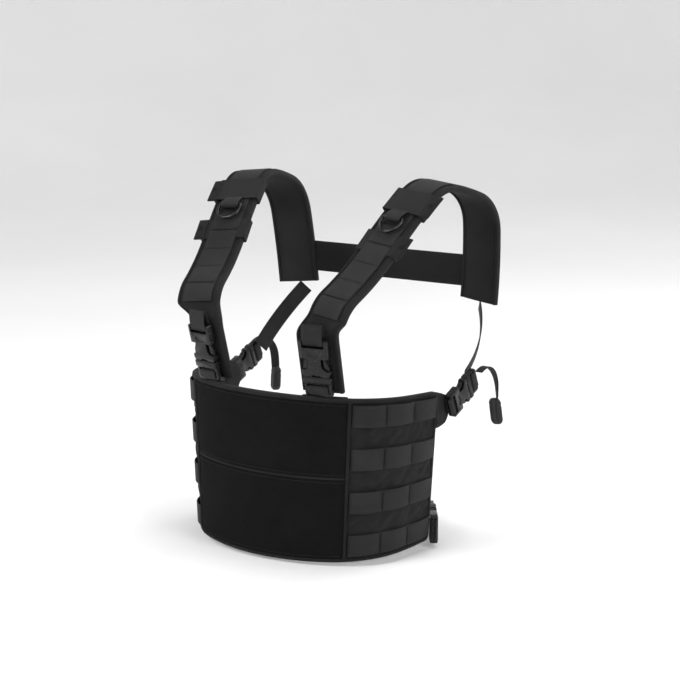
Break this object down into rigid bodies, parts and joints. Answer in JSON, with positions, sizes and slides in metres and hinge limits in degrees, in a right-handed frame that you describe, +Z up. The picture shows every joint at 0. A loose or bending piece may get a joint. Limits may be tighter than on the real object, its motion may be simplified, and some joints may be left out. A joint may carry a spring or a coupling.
{
  "type": "chest harness vest",
  "caption": "Wearable chest panel with loop field and webbing grid, padded shoulder straps, D-rings and side-release buckles at shoulders, ribs and waist.",
  "frame": {"origin": "on the wearer's mid-plane inside the torso, level with the middle of the front panel", "axes": "+X to the wearer's left, +Y to the wearer's back, +Z up"},
  "size_m": [0.344, 0.2855, 0.4218],
  "materials": {
    "lining_mesh": "matte spacer mesh",
    "foam": "closed-cell foam, hidden",
    "loop_fabric": "brushed loop pile",
    "shell_fabric": "coarse coated nylon, matte",
    "pad_fabric": "coarse coated nylon over foam, matte",
    "binding_tape": "grosgrain tape",
    "ring_metal": "black enamel",
    "buckle_plastic": "moulded nylon, semi-gloss",
    "grip_rubber": "matte moulded",
    "elastic": "ribbed elastic",
    "webbing": "woven nylon webbing"
  },
  "bodies": {
    "vest": {"cross_strap": "webbing", "d_ring_loops": "webbing", "front_ladder_webbing": "webbing", "front_plug_left": "buckle_plastic", "front_plug_right": "buckle_plastic", "loop_field_lower": "loop_fabric", "loop_field_upper": "loop_fabric", "panel_binding": "binding_tape", "panel_foam": "foam", "panel_lining": "lining_mesh", "panel_shell": "shell_fabric", "seam_tapes": "binding_tape", "side_socket_left": "buckle_plastic", "side_socket_right": "buckle_plastic", "side_strap_left": "webbing", "side_strap_right": "webbing", "side_tabs": "shell_fabric", "socket_loops": "webbing", "strap_keepers": "elastic", "strap_pad_left": "pad_fabric", "strap_pad_right": "pad_fabric", "strap_piping": "binding_tape", "strap_roots": "shell_fabric", "strap_webbing_left": "webbing", "strap_webbing_right": "webbing", "waist_socket_left": "buckle_plastic", "waist_socket_right": "buckle_plastic", "waist_strap": "webbing", "webbing_grid_left": "webbing", "webbing_grid_right": "webbing"},
    "d_ring_left": {"d_ring_left": "ring_metal"},
    "front_socket_left": {"front_socket_left": "buckle_plastic", "front_fold_left": "webbing"},
    "front_prong_a_left": {"front_prong_a_left": "buckle_plastic"},
    "front_prong_b_left": {"front_prong_b_left": "buckle_plastic"},
    "side_plug_left": {"side_plug_left": "buckle_plastic", "side_fold_left": "webbing", "side_tail_left": "webbing", "pull_tab_left": "grip_rubber"},
    "side_prong_a_left": {"side_prong_a_left": "buckle_plastic"},
    "side_prong_b_left": {"side_prong_b_left": "buckle_plastic"},
    "waist_plug_left": {"waist_plug_left": "buckle_plastic", "waist_fold_left": "webbing"},
    "waist_prong_a_left": {"waist_prong_a_left": "buckle_plastic"},
    "waist_prong_b_left": {"waist_prong_b_left": "buckle_plastic"},
    "d_ring_right": {"d_ring_right": "ring_metal"},
    "front_socket_right": {"front_socket_right": "buckle_plastic", "front_fold_right": "webbing"},
    "front_prong_a_right": {"front_prong_a_right": "buckle_plastic"},
    "front_prong_b_right": {"front_prong_b_right": "buckle_plastic"},
    "side_plug_right": {"side_plug_right": "buckle_plastic", "side_fold_right": "webbing", "side_tail_right": "webbing", "pull_tab_right": "grip_rubber"},
    "side_prong_a_right": {"side_prong_a_right": "buckle_plastic"},
    "side_prong_b_right": {"side_prong_b_right": "buckle_plastic"},
    "waist_plug_right": {"waist_plug_right": "buckle_plastic", "waist_fold_right": "webbing"},
    "waist_prong_a_right": {"waist_prong_a_right": "buckle_plastic"},
    "waist_prong_b_right": {"waist_prong_b_right": "buckle_plastic"}
  },
  "joints": [
    {"name": "d_ring_left_swing", "type": "hinge", "parent": "vest", "child": "d_ring_left", "pos_m": [0.11532, -0.0526, 0.28788], "axis": [-0.982, 0.1669, 0.0884], "range_deg": [0, 120]},
    {"name": "front_release_left", "type": "slide", "parent": "vest", "child": "front_socket_left", "axis": [0.0378, -0.2389, 0.9703], "range_m": [0, 0.027], "deforming": ["front_prong_a_left", "front_prong_b_left"]},
    {"name": "front_squeeze_a_left", "type": "hinge", "parent": "vest", "child": "front_prong_a_left", "pos_m": [0.08854, -0.14429, 0.12029], "axis": [0.1518, -0.9583, -0.2419], "range_deg": [0, 14], "stiffness_Nm_per_rad": 0.05},
    {"name": "front_squeeze_b_left", "type": "hinge", "parent": "vest", "child": "front_prong_b_left", "pos_m": [0.06721, -0.14766, 0.12029], "axis": [0.1518, -0.9583, -0.2419], "range_deg": [-14, 0], "stiffness_Nm_per_rad": 0.05},
    {"name": "side_release_left", "type": "slide", "parent": "vest", "child": "side_plug_left", "axis": [0, 0.9135, 0.4067], "range_m": [0, 0.0238], "deforming": ["side_prong_a_left", "side_prong_b_left"]},
    {"name": "side_squeeze_a_left", "type": "hinge", "parent": "side_plug_left", "child": "side_prong_a_left", "pos_m": [0.1585, 0.03213, 0.09268], "axis": [1, 0, 0], "range_deg": [0, 14], "stiffness_Nm_per_rad": 0.05},
    {"name": "side_squeeze_b_left", "type": "hinge", "parent": "side_plug_left", "child": "side_prong_b_left", "pos_m": [0.1585, 0.03987, 0.07532], "axis": [1, 0, 0], "range_deg": [-14, 0], "stiffness_Nm_per_rad": 0.05},
    {"name": "waist_release_left", "type": "slide", "parent": "vest", "child": "waist_plug_left", "axis": [-0.5736, 0.8191, 0], "range_m": [0, 0.027], "deforming": ["waist_prong_a_left", "waist_prong_b_left"]},
    {"name": "waist_squeeze_a_left", "type": "hinge", "parent": "waist_plug_left", "child": "waist_prong_a_left", "pos_m": [0.12276, 0.02204, -0.0654], "axis": [0.8191, 0.5736, 0], "range_deg": [0, 14], "stiffness_Nm_per_rad": 0.05},
    {"name": "waist_squeeze_b_left", "type": "hinge", "parent": "waist_plug_left", "child": "waist_prong_b_left", "pos_m": [0.12276, 0.02204, -0.087], "axis": [0.8191, 0.5736, 0], "range_deg": [-14, 0], "stiffness_Nm_per_rad": 0.05},
    {"name": "d_ring_right_swing", "type": "hinge", "parent": "vest", "child": "d_ring_right", "pos_m": [-0.11532, -0.0526, 0.28788], "axis": [-0.982, -0.1669, -0.0884], "range_deg": [0, 120]},
    {"name": "front_release_right", "type": "slide", "parent": "vest", "child": "front_socket_right", "axis": [-0.0378, -0.2389, 0.9703], "range_m": [0, 0.027], "deforming": ["front_prong_a_right", "front_prong_b_right"]},
    {"name": "front_squeeze_a_right", "type": "hinge", "parent": "vest", "child": "front_prong_a_right", "pos_m": [-0.08854, -0.14429, 0.12029], "axis": [0.1518, 0.9583, 0.2419], "range_deg": [0, 14], "stiffness_Nm_per_rad": 0.05},
    {"name": "front_squeeze_b_right", "type": "hinge", "parent": "vest", "child": "front_prong_b_right", "pos_m": [-0.06721, -0.14766, 0.12029], "axis": [0.1518, 0.9583, 0.2419], "range_deg": [-14, 0], "stiffness_Nm_per_rad": 0.05},
    {"name": "side_release_right", "type": "slide", "parent": "vest", "child": "side_plug_right", "axis": [0, 0.9135, 0.4067], "range_m": [0, 0.0238], "deforming": ["side_prong_a_right", "side_prong_b_right"]},
    {"name": "side_squeeze_a_right", "type": "hinge", "parent": "side_plug_right", "child": "side_prong_a_right", "pos_m": [-0.1585, 0.03213, 0.09268], "axis": [1, 0, 0], "range_deg": [0, 14], "stiffness_Nm_per_rad": 0.05},
    {"name": "side_squeeze_b_right", "type": "hinge", "parent": "side_plug_right", "child": "side_prong_b_right", "pos_m": [-0.1585, 0.03987, 0.07532], "axis": [1, 0, 0], "range_deg": [-14, 0], "stiffness_Nm_per_rad": 0.05},
    {"name": "waist_release_right", "type": "slide", "parent": "vest", "child": "waist_plug_right", "axis": [0.5736, 0.8191, 0], "range_m": [0, 0.027], "deforming": ["waist_prong_a_right", "waist_prong_b_right"]},
    {"name": "waist_squeeze_a_right", "type": "hinge", "parent": "waist_plug_right", "child": "waist_prong_a_right", "pos_m": [-0.12276, 0.02204, -0.0654], "axis": [0.8191, -0.5736, 0], "range_deg": [0, 14], "stiffness_Nm_per_rad": 0.05},
    {"name": "waist_squeeze_b_right", "type": "hinge", "parent": "waist_plug_right", "child": "waist_prong_b_right", "pos_m": [-0.12276, 0.02204, -0.087], "axis": [0.8191, -0.5736, 0], "range_deg": [-14, 0], "stiffness_Nm_per_rad": 0.05}
  ],
  "couplings": [
    {"joint": "front_squeeze_b_left", "follows": "front_squeeze_a_left", "ratio": -1},
    {"joint": "side_squeeze_b_left", "follows": "side_squeeze_a_left", "ratio": -1},
    {"joint": "waist_squeeze_b_left", "follows": "waist_squeeze_a_left", "ratio": -1},
    {"joint": "front_squeeze_b_right", "follows": "front_squeeze_a_right", "ratio": -1},
    {"joint": "side_squeeze_b_right", "follows": "side_squeeze_a_right", "ratio": -1},
    {"joint": "waist_squeeze_b_right", "follows": "waist_squeeze_a_right", "ratio": -1}
  ]
}
